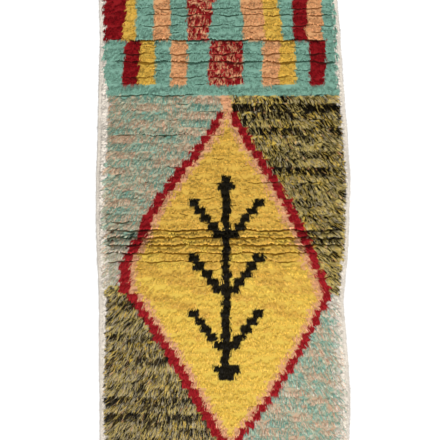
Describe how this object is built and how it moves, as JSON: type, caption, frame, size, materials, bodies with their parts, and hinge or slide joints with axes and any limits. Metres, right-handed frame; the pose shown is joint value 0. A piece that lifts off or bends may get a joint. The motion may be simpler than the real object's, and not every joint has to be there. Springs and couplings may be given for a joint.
{
  "type": "moroccan rug",
  "caption": "Flat hand-knotted wool runner rug with a lumpy pile laid in rows, a lozenge field, selvedge edges and flat-woven ends.",
  "frame": {"origin": "under the middle of the rug, on the floor", "axes": "+Y along the rug, towards the end with the border of coloured blocks; +X across it, to the right as seen from above with +Y up; +Z up out of the pile"},
  "size_m": [0.812, 1.71, 0.0152],
  "materials": {
    "undyed_wool": "hand-spun undyed wool, plain weave, matt",
    "pile_wool": "dyed hand-spun wool pile, matt with a soft sheen"
  },
  "bodies": {
    "root": {"ground_weave": "undyed_wool", "pile": "pile_wool"}
  },
  "joints": []
}
